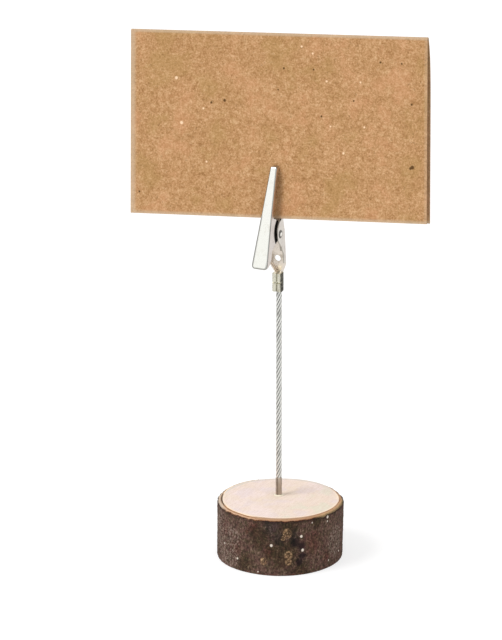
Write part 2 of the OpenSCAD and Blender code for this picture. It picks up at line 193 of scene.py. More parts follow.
def emptied(owner):
    """The node tree of a material or world, with nothing in it yet."""
    owner.use_nodes = True
    owner.node_tree.nodes.clear()
    return Net(owner.node_tree)


def finish_of(name, make, **constants):
    """A material with one Principled shader. Make gives its base colour, roughness and normal."""
    made = bpy.data.materials.new(name)
    net = emptied(made)
    base, rough, normal = make(net)
    shader = net.node("ShaderNodeBsdfPrincipled", None, base, Roughness=rough, Normal=normal, **constants)
    net.node("ShaderNodeOutputMaterial", None, shader)
    made.diffuse_color = (0.6, 0.6, 0.6, 1)
    print("finish", name, "has", len(made.node_tree.nodes), "nodes")
    return made


# %% [markdown]
# ## Turning points and faces into a piece
# A list of rings of points, joined into a skin, makes bark, rope ends, rivets and card alike. Each piece is
# built where it belongs, so its object stays at the origin and patterns on Object coordinates stay put.

# %% Helpers for meshes
def add(name, data):
    made = bpy.data.objects.new(name, data)
    bpy.context.scene.collection.objects.link(made)
    return made


def piece_from(name, points, faces, material, smooth=True):
    data = bpy.data.meshes.new(name)
    data.from_pydata([tuple(p) for p in points], [], faces)
    data.validate()
    data.materials.append(material)
    data.polygons.foreach_set("use_smooth", [smooth] * len(data.polygons))
    return add(name, data)


def dress(node, material):
    """Gives a solid of the frame its finish."""
    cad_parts[node].data.materials.clear()
    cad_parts[node].data.materials.append(material)


def carry(made, layers):
    """Writes numbers into a mesh, one for each point, for its finish to read."""
    for name, values in layers.items():
        made.data.attributes.new(name, "FLOAT", "POINT").data.foreach_set("value", values)


def skin_faces(rings, sides, closed_rings, closed_sides=True):
    """Quads between rings that follow each other, each with the same number of points."""
    faces = []
    for i in range(rings if closed_rings else rings - 1):
        for j in range(sides if closed_sides else sides - 1):
            a = i * sides + j
            b = i * sides + (j + 1) % sides
            c = (i + 1) % rings * sides + (j + 1) % sides
            d = (i + 1) % rings * sides + j
            faces.append((a, b, c, d))
    return faces


@contextmanager
def editing(made):
    """Opens the mesh of a piece for changes and writes it back."""
    mesh = bmesh.new()
    mesh.from_mesh(made.data)
    yield mesh
    mesh.to_mesh(made.data)
    mesh.free()


def face_out(made, doubles=1e-7):
    """Merges points nearer than doubles, if any, and turns the faces of a closed piece outwards."""
    with editing(made) as mesh:
        if doubles:
            bmesh.ops.remove_doubles(mesh, verts=mesh.verts, dist=doubles)
        bmesh.ops.recalc_face_normals(mesh, faces=mesh.faces)
    return made


def sharpen(made, degrees):
    """Edges that turn by more than this stay crisp, and all others shade smooth."""
    with editing(made) as mesh:
        for edge in mesh.edges:
            edge.smooth = len(edge.link_faces) == 2 and edge.calc_face_angle(0) < math.radians(degrees)
        for face in mesh.faces:
            face.smooth = True
    return made


def settled(made):
    """The mesh of a piece as its modifiers leave it."""
    return bpy.data.meshes.new_from_object(made.evaluated_get(bpy.context.evaluated_depsgraph_get()))


def tell(made):
    print(made.name, "has", sum(len(p.vertices) - 2 for p in made.data.polygons), "triangles")


# %% [markdown]
# ## The camera
# The photograph was taken from far off with a long lens: the upright stem, the round slice and the card
# only agree on a distance of 2.33 metres, 25 degrees to the right of the clip and 18.5 degrees above it. A
# lens of 476 mm on a 36 mm sensor then gives the same frame, 640 pixels high, with no shift.

# %% The camera, aimed at the middle of the stem
VIEW_TURN = 25.2
VIEW_RISE = 18.5
VIEW_DISTANCE = 2330 * MM
AIM_HEIGHT = 67.5 * MM
AIM_LEFT = 7.7 * MM
LENS = 475.9


def direction(turn, rise):
    """Where something lies that is turned from the front to the right and raised, both in degrees."""
    a, e = math.radians(turn), math.radians(rise)
    return Vector((math.sin(a) * math.cos(e), -math.cos(a) * math.cos(e), math.sin(e)))


to_right = Vector((math.cos(math.radians(VIEW_TURN)), math.sin(math.radians(VIEW_TURN)), 0))
to_camera = direction(VIEW_TURN, VIEW_RISE)
camera_data = bpy.data.cameras.new("camera")
camera_data.lens = LENS
camera_data.sensor_width = 36
camera_data.clip_start = 0.05
camera_data.clip_end = 20
camera = add("camera", camera_data)
camera.location = Vector((0, 0, AIM_HEIGHT)) - AIM_LEFT * to_right + VIEW_DISTANCE * to_camera
camera.rotation_mode = "QUATERNION"
camera.rotation_quaternion = (-to_camera).to_track_quat("-Z", "Y")
bpy.context.scene.camera = camera
print("camera at", [round(v, 3) for v in camera.location])

# %% [markdown]
# ## Light and floor
# A holder like this is photographed on white, in light that comes from nearly everywhere: a light tent. The
# world is the tent. One broad lamp from the front left gives the soft shading, and its direction is what
# the lever of the clip mirrors. The floor is lit a little past white for the camera alone, so it vanishes
# into the background but keeps the shadow, while the light that falls on the object stays at a plain level.
# Bright metal shows no form of its own, only what it mirrors. In a tent that is white all round it would be
# a white cut-out, so the tent has two dark gaps, straight left and right, that only mirrors see. Rounded
# folds and wires turn past those gaps and get the dark lines that draw them.

# %% The tent, the lamps and the floor
TENT_LEVEL = 0.62
CURTAIN_FROM = 0.55
CURTAIN_TO = 0.85
CURTAIN_LEVEL = 0.04
KEY_LEVEL = 1.5
FILL_LEVEL = 0.45
FLOOR_REACH = 3

scene = bpy.context.scene
scene.view_settings.view_transform = "Standard"
scene.world = bpy.data.worlds.new("tent")
net = emptied(scene.world)
path = net.node("ShaderNodeLightPath")
direct = path["Is Camera Ray"] + path["Is Glossy Ray"] + path["Is Transmission Ray"]
tent = net.node("ShaderNodeBackground", None, "ffffff", TENT_LEVEL)
towards = net.parts(net.node("ShaderNodeTexCoord")["Generated"])
side = net.maths("ABSOLUTE", towards["X"])
gap = side.between(CURTAIN_FROM, CURTAIN_TO) * towards["Z"].between(0.75, 0.35)
mirrored = net.mix(gap * path["Is Glossy Ray"], "ffffff", (*[CURTAIN_LEVEL] * 3, 1))
white = net.node("ShaderNodeBackground", None, mirrored, 1)
net.node("ShaderNodeOutputWorld", None, net.node("ShaderNodeMixShader", None, direct, tent, white))


def sun(name, turn, rise, level, spread):
    """A lamp so far off that its light is even."""
    lamp = bpy.data.lights.new(name, "SUN")
    lamp.energy = level
    lamp.angle = math.radians(spread)
    made = add(name, lamp)
    made.rotation_mode = "QUATERNION"
    made.rotation_quaternion = direction(turn, rise).to_track_quat("Z", "Y")


sun("key_lamp", -38, 48, KEY_LEVEL, 30)
sun("fill_lamp", 70, 30, FILL_LEVEL, 60)

floor_white = bpy.data.materials.new("floor_white")
net = emptied(floor_white)
path = net.node("ShaderNodeLightPath")
seen = path["Is Camera Ray"] + path["Is Transmission Ray"]
paper = net.node("ShaderNodeBsdfDiffuse", None, (0.9, 0.9, 0.9, 1))
bright = net.node("ShaderNodeEmission", None, "ffffff", 1.3)
net.node("ShaderNodeOutputMaterial", None, net.node("ShaderNodeMixShader", None, 0.5 * seen, paper, bright))
corners = [(x * FLOOR_REACH, y * FLOOR_REACH, 0) for x, y in ((-1, -1), (1, -1), (1, 1), (-1, 1))]
floor = piece_from("floor", corners, [(0, 1, 2, 3)], floor_white, smooth=False)
print("lamps and floor are up")

# %% [markdown]
# ## The outline of the branch
# A branch is never quite round. Its outline here is a circle with three gentle swells, the same rule that
# the solids follow, so that wood, inner bark and outer bark nest in each other.

# %% The outline as a rule
WOOD_RADIUS = 16.5
WOOD_MIDDLE = (1.7, -2.35)
SLICE_HEIGHT = 16.3
INNER_BARK = 0.5
OUTER_BARK = 0.85
BARK_EDGE = 0.7
FOOT_EDGE = 0.3
STRAY = 0.4


def wave(turns, shift, angle):
    return math.sin(math.radians(turns * angle + shift))


def wood_radius(angle):
    swell = 0.8 * wave(2, -140, angle) + 0.25 * wave(3, -70, angle) + 0.15 * wave(5, 20, angle)
    return WOOD_RADIUS + STRAY * swell


def bark_thickness(angle, height):
    thicker = OUTER_BARK * (1 + 0.1 * math.cos(math.radians(angle - 215)))
    drawn_in = 0.4 * (1 - height / SLICE_HEIGHT) * (1 + math.cos(math.radians(angle - 25))) / 2
    return thicker - drawn_in


def on_slice(radius, angle, height):
    a = math.radians(angle)
    return (
        (WOOD_MIDDLE[0] + radius * math.cos(a)) * MM,
        (WOOD_MIDDLE[1] + radius * math.sin(a)) * MM,
        height * MM,
    )


print("radius of the wood, in mm:", [round(wood_radius(a), 2) for a in range(0, 360, 60)])

# %% [markdown]
# ## Bark
# The outer bark is a thin ring with a rough face. Young bark is not cracked into plates: it has fine
# upright fibres, a few knots where twigs grew, and pale pores. The saw broke its upper edge away, so the
# edge slopes down from the wood and shows the brown layer inside. The relief is real, because the slice is
# seen from the side, where a bump would leave the outline smooth. The mesh carries the broken edge, the
# marks and the patches as attributes for its finish.

# %% Marks on the bark: (angle, height, size), in degrees and millimetres
KNOTS = [
    (300.8, 12.6, 1.45), (297, 11.2, 0.7), (301.8, 6.1, 1.25), (301.8, 4.2, 1.1), (279.9, 4.2, 1.15),
    (44, 10.5, 1.3), (78, 5, 0.9), (118, 11, 1.2), (171, 4.4, 1), (190, 9.6, 0.9),
]
PORES = [
    (286.8, 9, 0.46), (313.3, 11.4, 0.44), (314.6, 7.3, 0.48), (342.3, 15.2, 0.44), (342, 14, 0.24),
    (323.8, 14.9, 0.2), (234.5, 6.3, 0.3), (253, 3.5, 0.34), (274.7, 0.9, 0.22), (344.6, 2.3, 0.26),
    (2.6, 3.4, 0.26), (37, 12.6, 0.35), (51, 8.8, 0.42), (83, 3.4, 0.34), (97, 13.1, 0.4),
    (129, 6.3, 0.36), (148, 10.2, 0.4), (163, 13.6, 0.3), (190, 7.4, 0.42),
]
# Broad patches that tint the bark and its broken edge
PATCHES = {
    "moss": [
        (276, 11, 5), (297, 7, 7), (303, 14, 4.5), (313, 1, 4), (262, 3, 4),
        (330, 15, 3), (40, 8, 6), (110, 4, 7), (150, 12, 6), (195, 3, 5),
    ],
    "damp": [
        (308, 9.6, 1.9), (313.6, 8.4, 1.8), (314.4, 5.7, 1.5), (312, 4, 1.5), (130, 2, 2.5),
        (178, 9, 2.5),
    ],
    "blue": [(287, 14.4, 3.6), (292, 11, 3), (306, 12, 2.6), (75, 11, 4)],
    "rose": [
        (340.7, 3.8, 2.6), (263.7, 12.1, 1), (284, 7, 2.6), (232, 11, 4.5), (250, 7, 4),
        (325, 9, 5), (270, 14, 3),
    ],
    "dust": [
        (222, 9, 7), (238, 4, 6), (246, 9, 4), (356, 7, 5), (60, 13, 5),
        (95, 9, 5), (160, 6, 6), (205, 12, 5),
    ],
    "dry": [(184, 16, 17)],
    "fresh": [(0, 16, 11)],
}


def mark_at(marks, angle, height):
    """How far into the nearest mark a point is, from 0 at its rim to 1 in its middle."""
    deepest = 0
    for mark_angle, mark_height, size in marks:
        side = (angle - mark_angle + 180) % 360 - 180
        across = math.radians(side) * (WOOD_RADIUS + 1.2)
        away = math.hypot(across, 0.85 * (height - mark_height)) / size
        deepest = max(deepest, 1 - away)
    return deepest


def spot_on(angle, scale, height, shift=0):
    """A place on a drum of any size, for noise that closes in a ring."""
    a = math.radians(angle)
    return Vector((math.cos(a) * scale + shift, math.sin(a) * scale, height))


def fibre(angle, height):
    """Fibres and scales: noise that changes fast round the slice and more slowly up it."""
    coarse = noise.fractal(spot_on(angle, 15, height * 0.5), 1, 2.1, 3)
    fine = noise.noise(spot_on(angle, 70, height * 2.6))
    scale = noise.noise(spot_on(angle, 32, height * 1.7))
    crack = 1 - abs(noise.noise(spot_on(angle, 21, height * 0.7, 7))) * 5
    return 0.08 * coarse + 0.09 * fine + 0.07 * scale - 0.08 * max(0, crack)


def bark_relief(angle, height):
    knot = mark_at(KNOTS, angle, height)
    pore = mark_at(PORES, angle, height)
    raised = 0.22 * min(1, 3 * knot) - 0.34 * min(0.4, max(0, knot - 0.45))
    return fibre(angle, height) * (1 - 0.4 * min(1, 2 * knot)) + raised + 0.1 * min(1, 2 * pore)


# %% The bark as a closed ring
BARK_COLUMNS = 640
BARK_ROWS = 84
EDGE_ROWS = 6


def sunken(angle):
    """The bark behind the wood has shrunk the most. 1 where it is lowest, 0 from the sides on."""
    share = math.cos(math.radians(angle - 80)) - 0.45
    return min(1, max(0, 3.5 * share))


def bark_section(angle):
    """The bark's outline at one angle, as (radius, height, broken, under the edge) from foot to top."""
    inner = wood_radius(angle) + INNER_BARK
    sunk = 0.22 * sunken(angle)
    uneven = noise.fractal(spot_on(angle, 9, 3), 1, 2, 3)
    edge_z = SLICE_HEIGHT - sunk - BARK_EDGE * (0.85 + 0.55 * uneven)
    rows = [(inner, 0, 0, 0), (inner + 0.5 * bark_thickness(angle, 0), 0, 0, 0)]
    for k in range(BARK_ROWS + 1):
        height = FOOT_EDGE * 0.4 + (edge_z - FOOT_EDGE * 0.4) * k / BARK_ROWS
        radius = inner + bark_thickness(angle, height) + bark_relief(angle, height)
        near_foot = max(0, 1 - height / FOOT_EDGE)
        near_top = max(0, 1 - (edge_z - height) / 0.35)
        under = max(0, 1 - (edge_z - height) / 0.8)
        rows.append((radius - 0.22 * near_foot - 0.16 * near_top**2, height, 0, under))
    outer = rows[-1][0] - 0.05
    for k in range(1, EDGE_ROWS + 1):
        share = k / EDGE_ROWS
        chip = 0.16 * noise.noise(spot_on(angle, 55, share * 2.5))
        radius = outer + (inner - outer) * share
        height = edge_z + (SLICE_HEIGHT - sunk - 0.06 - edge_z) * share**0.85 + chip * (1 - share)
        rows.append((radius, min(height, SLICE_HEIGHT), share, 0))
    return rows


def make_bark(material):
    sections = [bark_section(360 * i / BARK_COLUMNS) for i in range(BARK_COLUMNS)]
    points = []
    layers = {name: [] for name in ("broken", "under", "knot", "pore", *PATCHES)}
    marks = {"knot": KNOTS, "pore": PORES, **PATCHES}
    for i, section in enumerate(sections):
        angle = 360 * i / BARK_COLUMNS
        for radius, height, broken, under in section:
            points.append(on_slice(radius, angle, height))
            layers["broken"].append(broken)
            layers["under"].append(under)
            for name, spots in marks.items():
                layers[name].append(mark_at(spots, angle, height))
    made = piece_from("bark_shell", points, skin_faces(BARK_COLUMNS, len(sections[0]), True), material)
    carry(made, layers)
    return face_out(made, None)


# %% [markdown]
# Bark has no single colour. Grey, brown and purplish grains of half a millimetre lie side by side, and over
# them come moss, damp, dust, knots and pores. So the finish starts from a fine grain, a little drawn out
# upwards, tints it with each patch's attribute, and breaks every patch up with noise so that none has an
# edge.

# %% The finish of the bark
# The cosine and sine of the camera's turn, which tell right from left and front from back as it sees them
SEEN = (0.905, 0.426)


def shaded_side(net):
    """Painted shade on the slice's rim: 0 on the lamp-lit left, growing to 1 at the middle of the front."""
    parts = net.parts()
    return (parts["X"] * SEEN[0] + parts["Y"] * SEEN[1]).between(-9 * MM, -4 * MM)


def bark_look(net):
    ragged = net.noise(620, 4, 0.75) - 0.5

    def patch(name, high):
        """The share of a patch, with its edge torn by noise."""
        inside = net.layer(name)
        return (inside * 1.3 + ragged * 1.6 - 0.1).between(0, high) * inside.between(0, 0.15)

    streaks = net.noise(1600, 5, 0.65, (1, 1, 0.42))
    grain = net.noise(2000, 5, 0.75, (1, 1, 0.75))
    hue = net.noise(900, 3, 0.6)
    granules = net.noise(1700, 3, 0.75)
    foot = net.parts()["Z"].between(0.6 * MM, 0.2 * MM)
    knot = net.layer("knot") + ragged * 0.3 * net.layer("knot").between(0, 0.2)
    ringed = knot.between(0, 0.35) * (1 - 0.6 * knot.between(0.45, 0.75)) + 0.6 * knot.between(0.8, 0.95)
    tone = net.ramp(
        grain * 0.68 + streaks * 0.32,
        (0.34, "1c120e"), (0.43, "38271f"), (0.5, "533e33"), (0.57, "745b4e"), (0.69, "ae9585"),
    )
    ochre = net.ramp(granules, (0.38, "3c2a1c"), (0.5, "87674a"), (0.6, "b8956f"), (0.7, "dcbc98"))
    skin = net.coats(
        tone,
        (hue.between(0.5, 0.62) * 0.38, "6c4944"),
        (hue.between(0.48, 0.38) * 0.35, "51492f"),
        (patch("moss", 0.8), "c3c6ad", "MULTIPLY"),
        (patch("blue", 0.9), "c3cbd9", "MULTIPLY"),
        (patch("rose", 1.2), "f4d6d0", "MULTIPLY"),
        (patch("damp", 0.7), "8a7d90", "MULTIPLY"),
        # Painted shade: the bark just under the broken edge is darkened.
        (net.layer("under") * 0.75, "8a7460", "MULTIPLY"),
        (net.layer("dust").between(0, 0.5) * grain.between(0.48, 0.6) * 0.5, "a8978a"),
        (foot * hue.between(0.45, 0.55) * 0.6, "74402c"),
        (ringed * (0.3 + 0.55 * granules.between(0.4, 0.58)), ochre),
        (net.layer("pore").between(0.05, 0.4), "e6dacb"),
    )
    broken = net.layer("broken")
    fibres = net.noise(2600, 4, 0.65, (1, 1, 0.6))
    clumps = net.noise(520, 3, 0.6)
    # The broken edge is painted darker away from the lit left side: painted shade.
    raw = net.ramp(
        broken * 0.85 + fibres * 0.4 + clumps * 0.5 - 0.36 - shaded_side(net) * 0.19,
        (0.02, "24120a"), (0.16, "4f2b18"), (0.3, "8f6545"), (0.45, "c9a283"), (0.66, "d8b395"),
        (0.86, "a2754f"), (0.98, "855735"),
    )
    edge = net.coats(
        raw,
        (net.layer("dry").between(0, 0.35) * 0.65, "cfc2b0"),
        (shaded_side(net), "ddd0c6", "MULTIPLY"),
        (net.layer("fresh").between(0, 0.4) * 0.3, "d8bf8c"),
    )
    dots = net.node("ShaderNodeTexVoronoi", None, net.place, Scale=1500)
    height = grain * 0.6 + streaks * 0.3 + dots["Distance"] * 0.2
    return (
        net.mix(broken.between(0.02, 0.12), skin, edge),
        0.72 + 0.25 * grain,
        net.bump(height, 0.9, 0.14 * MM),
    )


bark_shell = make_bark(finish_of("bark", bark_look, Specular_IOR_Level=0.25))
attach(bark_shell, "stand")
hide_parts("outer_bark")
tell(bark_shell)

# %% [markdown]
# ## Inner bark
# Between wood and bark lies a thin fibrous layer. On a fresh cut it shows as a warm ring, pale at the wood
# and brown at the bark, torn a little lower than the wood. It is made like the bark, from rings of points.

# %% The inner bark as a closed ring
INNER_COLUMNS = 480
CRACK_FROM = 188
CRACK_TO = 228
CRACK_WIDTH = 0.24


def crack_width(angle):
    """The dried bark has come away from the wood on one side, by a gap that opens and closes gently."""
    share = (angle - CRACK_FROM) / (CRACK_TO - CRACK_FROM)
    if not 0 < share < 1:
        return 0
    uneven = 0.75 + 0.5 * noise.noise(Vector((angle * 0.21, 4, 1)))
    return CRACK_WIDTH * min(1, 4 * share, 4 * (1 - share)) * uneven


def inner_section(angle):
    """The ring's outline at one angle, as (share of the way out, height) from the foot round to the wood."""
    tear = 0.12 + 0.1 * noise.noise(spot_on(angle, 22, 1))
    fray = 0.05 * noise.noise(spot_on(angle, 60, 5))
    drops = (
        (1, 0.25), (0.9, tear + fray), (0.6, tear * 0.6 - fray), (0.3, tear * 0.25),
        (0.12, 0.01), (0, 0.03), (0, 0.9),
    )
    return [(0, 0), (1, 0), *((share, SLICE_HEIGHT - drop) for share, drop in drops)]


def make_inner_bark(material):
    points = []
    layers = {"across": [], "split": []}
    for i in range(INNER_COLUMNS):
        angle = 360 * i / INNER_COLUMNS
        gap = crack_width(angle)
        section = inner_section(angle)
        for share, height in section:
            pushed = gap * (1 - share) if SLICE_HEIGHT - 0.5 < height else 0
            lower = 0.2 * sunken(angle) * (0.3 + 0.7 * share) if height > 0 else 0
            points.append(on_slice(wood_radius(angle) + INNER_BARK * share + pushed, angle, height - lower))
            layers["across"].append(share)
            layers["split"].append(gap / CRACK_WIDTH)
    made = piece_from("inner_bark_ring", points, skin_faces(INNER_COLUMNS, len(section), True), material)
    carry(made, layers)
    return sharpen(face_out(made, None), 50)


def inner_bark_look(net):
    fibres = net.noise(2400, 5, 0.7, (1, 1, 0.4))
    patches = net.noise(240, 2, 0.5)
    across = net.layer("across")
    parts = net.parts()
    behind = (parts["Y"] * SEEN[0] - parts["X"] * SEEN[1]).between(0, 5 * MM)
    # The ring is painted darker away from the lit left side: painted shade.
    layers = net.ramp(
        across + 0.5 * fibres + 0.7 * patches - 0.6 + shaded_side(net) * 0.4 - behind * 0.55,
        (0.12, "ffe6c6"), (0.26, "f0c79a"), (0.4, "8d5a37"), (0.62, "a27048"), (0.85, "c9a07a"),
    )
    # Painted shade: near black in the crack where the bark has come away, and down the ring's inner wall
    # below the top.
    crack_shade = net.layer("split").between(0.1, 0.6) * across.between(0.8, 0.5)
    groove_shade = parts["Z"].between((SLICE_HEIGHT - 0.2) * MM, (SLICE_HEIGHT - 0.6) * MM)
    return (
        net.coats(layers, (crack_shade * 0.9, "4b4238"), (groove_shade, "2a180d")),
        0.75 + 0.2 * fibres,
        net.bump(fibres, 0.6, 0.08 * MM),
    )


inner_bark_ring = make_inner_bark(finish_of("inner_bark", inner_bark_look, Specular_IOR_Level=0.3))
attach(inner_bark_ring, "stand")
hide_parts("inner_bark")
tell(inner_bark_ring)

# %% [markdown]
# ## Sawn wood
# The solid's flat faces are right, so the solid stays and only gets a finish. On a sanded end face the
# yearly rings are faint, rays run out from the pith, and the sander leaves a fine even scratch. The rings
# are the distance from the pith, made uneven by noise, with its fraction sent through two soft steps.

# %% The finish of the wood
def wood_look(net):
    pith = net.flat_from(0.6, -1)
    wobble = net.noise(120, 2, 0.5)
    distance = net.length(pith)
    ring = net.maths("FRACT", (distance / MM + 2.2 * wobble) * 0.62)
    late = ring.between(0.55, 0.95) * ring.between(1, 0.93)
    pores = net.noise(3200, 3, 0.7)
    blush = net.noise(95, 3, 0.6)
    fuzz = net.noise(2600, 3, 0.6, (1, 0.12, 1), (0, 0, 0.5))
    parts = net.parts(pith)
    turn = net.maths("ARCTAN2", parts["Y"], parts["X"])
    rays = net.noise(1500, 2, 0.5, at=net.join(turn * 0.06, distance * 0.35, 0))
    clouds = net.noise(130, 2, 0.5, (1, 1, 1), (0, 0, 1.1))
    middle = net.flat_from(*WOOD_MIDDLE)
    out = net.length(middle)
    # Painted highlight: a pale band along the outer edge of the wood, greyer behind.
    rim = (out + (wobble - 0.5) * 1.5 * MM).between(15.3 * MM, 16.2 * MM)
    spot = net.parts(middle)
    behind = (spot["Y"] * 0.82 - spot["X"] * 0.57).between(3 * MM, 9 * MM)
    # Painted shade: a thin dark line at the very edge, left out on the lit left side and behind.
    line = (out + (pores - 0.5) * 0.5 * MM).between(15.95 * MM, 16.25 * MM) * shaded_side(net)
    shown = net.coats(
        net.mix(blush.between(0.36, 0.6), "f2e0cf", "f8e6e0"),
        (clouds.between(0.52, 0.62) * 0.5, "ecdde0"),
        (parts["X"].between(2 * MM, 12 * MM) * clouds.between(0.48, 0.38) * 0.6, "e3e4cc"),
        (late * 0.07, "d9b597"),
        (rays.between(0.5, 0.7) * 0.4, "fff0e4"),
        (fuzz.between(0.35, 0.7) * 0.35, "e0c8b9"),
        (pores.between(0.52, 0.7) * 0.55, "cdac95"),
        (rim * 0.85, net.mix(behind, "ffe9cf", "ddd3c8")),
        (line * (1 - behind) * 0.75, "9c6a44"),
    )
    return shown, 0.72 + 0.15 * pores, net.bump(pores * 0.6 + fuzz * 0.4 + late * 0.3, 0.35, 0.05 * MM)


dress("wood_disc", finish_of("sawn_wood", wood_look, Specular_IOR_Level=0.3))

# %% [markdown]
# ## Glue
# The stem is glued into its hole. A little glue wells up round the sleeve and dries to a pale, slightly
# yellow collar. The collar is a lathed ring: an outline turned round the stem, with its rim pushed in and
# out by noise so that it does not look machined.

# %% A lathe, and the collar of glue
SLEEVE_RADIUS = 0.875
SLEEVE_TOP = 21.6
LATHE_SEGMENTS = 64


def lathe(name, outline, material, wobble):
    """Turns a closed outline of (radius, height) in millimetres round the stem."""
    points = []
    for i in range(LATHE_SEGMENTS):
        a = 2 * math.pi * i / LATHE_SEGMENTS
        for k, (radius, height) in enumerate(outline):
            r = radius + wobble(a, k)
            points.append([v * MM for v in (r * math.cos(a), r * math.sin(a), height)])
    return face_out(piece_from(name, points, skin_faces(LATHE_SEGMENTS, len(outline), True), material))


def glue_wobble(a, k):
    reach = noise.noise(Vector((math.cos(a) * 1.4, math.sin(a) * 1.4, 2)))
    return (0, 0.16, 0.3, 0.38, 0)[k] * reach


def glue_look(net):
    cloudy = net.noise(900, 3, 0.5)
    dust = net.noise(5200, 2, 0.6)
    body = net.mix(cloudy, "ece0c4", "f8efdc")
    return (
        net.mix(dust.between(0.6, 0.75) * 0.4, body, "c7a878"),
        0.3 + 0.25 * cloudy,
        net.bump(cloudy, 0.3, 0.05 * MM),
    )


GLUE = finish_of("glue", glue_look, Specular_IOR_Level=0.5, Coat_Weight=0.2, Coat_Roughness=0.2)
glue_outline = [
    (SLEEVE_RADIUS + out, SLICE_HEIGHT + up)
    for out, up in ((0.02, 0.36), (0.16, 0.26), (0.38, 0.13), (0.62, 0.01), (0.02, 0.01))
]
glue_collar = lathe("glue_collar", glue_outline, GLUE, glue_wobble)
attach(glue_collar, "stand")
dress("glue_cup", GLUE)
tell(glue_collar)

# %% [markdown]
# ## Metal
# Four metals meet on this holder: bright nickel on the clip, drawn spring wire, galvanised rope wire and a
# dull pressed sleeve. The shine is broken by long fine scratches and by soft smudges, so one function makes
# them from two colours, a roughness and how worn they are. Only the stained sleeve has a rule of its own.
# Dark lines, dark gaps and shaded sides that this light does not make are painted into the metal as shade.
# The barrel's black spots of flux come from the same rule.

# %% Metals from one rule
PIVOT = (0, -4.5, 94)
SHADE = "1e1a17"


def metal(name, bright, dull, rough, wear, scratch_scale, pits=0, shade_and_dirt=None):
    """The argument shade_and_dirt is a function of the net and the place in millimetres. It gives a share of
    darkening, 1 where it is darkest: painted shade, and on the barrel also flux.
    """
    def look(net):
        smudge = net.noise(420, 4, 0.6)
        grain = net.noise(scratch_scale, 3, 0.6, (1, 1, 0.08), (0.3, 0.2, 0))
        specks = net.noise(3600, 2, 0.5)
        stain = smudge.between(0.5, 0.75) * wear + specks.between(0.62, 0.72) * wear * 0.6
        plated = net.mix(stain, bright, dull)
        roughness = rough + 0.18 * wear * smudge + 0.1 * wear * grain
        if shade_and_dirt:
            parts = net.parts()
            darkened = shade_and_dirt(net, *(parts[axis] / MM for axis in "XYZ"))
            plated = net.mix(darkened, plated, SHADE)
            roughness = roughness + 0.4 * darkened
        return plated, roughness, net.bump(grain * 0.5 + specks * pits, 0.12 + 0.5 * pits, 0.02 * MM)

    return finish_of(name, look, Metallic=1)


# %% Where painted shade and flux darken the metal
def ring_of_shade(near, far, behind, above, low):
    """Painted shade in a crescent near the pivot, for the shadowed gap at the rear jaw's ear: its radii, the
    shift of its middle, and its lowest height.
    """
    def share(net, x, y, z):
        ahead, up = PIVOT[1] + behind - y, z - PIVOT[2] - above
        away = net.far(ahead, up)
        ring = away.between(near, near + 0.1) * away.between(far + 0.1, far - 0.1)
        return ring * ahead.between(0.6, 1.2) * up.between(low, low + 0.4)
    return share


def round_pin(near, far):
    """Painted shade in a ring round the pivot pin's head."""
    def share(net, x, y, z):
        away = net.far(PIVOT[1] - y, z - PIVOT[2])
        return away.between(near, near + 0.15) * away.between(far, far - 0.3) * 0.75
    return share


def either(first, second):
    return lambda net, *place: net.maths("MAXIMUM", first(net, *place), second(net, *place))


def lever_fold_shade(net, x, y, z):
    """Painted shade: a grey line round the thumb lever, along its folds and its rounded end."""
    half = LEVER_HALF + (LEVER_END - z) * LEVER_TAPER
    side, end = half - net.maths("ABSOLUTE", x), z - LEVER_END
    away = 1 - net.far(net.maths("MAXIMUM", 1 - side, 0), net.maths("MAXIMUM", 1 - end, 0))
    left = x.between(0.2, -0.2) * z.between(100.5, 99)
    wide = away.between(0.62, 0.4) * net.maths("MAXIMUM", left, z.between(88.4, 86.6))
    right = away.between(0.36, 0.2) * x.between(-0.2, 0.2)
    return net.maths("MAXIMUM", wide, right) * 0.6


def barrel_flux_and_shade(net, x, y, z):
    """Painted shade down the right flank of the barrel, broken by noise, and small black spots of flux all
    over.
    """
    spots = net.noise(1.5, 3, 0.65, at=net.join(x, y, z))
    shaded_flank = x.between(0.95, 1.35) * (0.6 + 0.3 * spots.between(0.35, 0.6))
    return net.maths("MAXIMUM", shaded_flank, spots.between(0.5, 0.72) * 0.3)


def rope_valley_shade(net, x, y, z):
    """Painted shade in the valleys of the rope, told by how near the stem's axis they lie."""
    return net.far(x, y).between(0.74, 0.56) * 0.75


# %% The metals
LEVER_END = 85.9
LEVER_HALF = 2.4
LEVER_TAPER = 0.8 / 14.2
NICKEL = metal("clip_nickel", "f6f6ef", "d6d0c2", 0.14, 0.35, 5200)
NICKEL_LEVER = metal("clip_lever", "f6f6ef", "d6d0c2", 0.14, 0.35, 5200, shade_and_dirt=lever_fold_shade)
# The side walls' finishes are darker copies of the bright nickel, which is painted shade. They carry more
# painted shade in a crescent and a ring by the pivot.
NICKEL_SHADED_WALL = metal(
    "clip_shaded_wall", "dfd8d0", "b5a99f", 0.22, 0.7, 5200,
    shade_and_dirt=either(ring_of_shade(3.7, 4.7, 2.15, 0.2, 2.7), round_pin(0.7, 1.3)),
)
NICKEL_SHADED = metal(
    "clip_shaded", "dfd6cf", "b5a99f", 0.22, 0.6, 5200, shade_and_dirt=ring_of_shade(3.5, 5, 2.15, 0.2, -4.6),
)
NICKEL_INSIDE = metal("clip_inside", "e9dfd3", "aea190", 0.32, 0.9, 3000, 0.2)
NICKEL_EDGE = metal("clip_cut_edge", "b9b2a6", "80786c", 0.32, 0.6, 7000, 0.3)
NICKEL_BARREL = metal("clip_barrel", "e0ddcc", "6c6755", 0.35, 1, 2600, 0.4, barrel_flux_and_shade)
PIN_METAL = metal("pin_steel", "f6f2ea", "c0b6a8", 0.2, 0.4, 5200, shade_and_dirt=round_pin(0.5, 1.6))
SPRING_METAL = metal("spring_steel", "a8a49c", "6d675e", 0.3, 0.5, 8000)
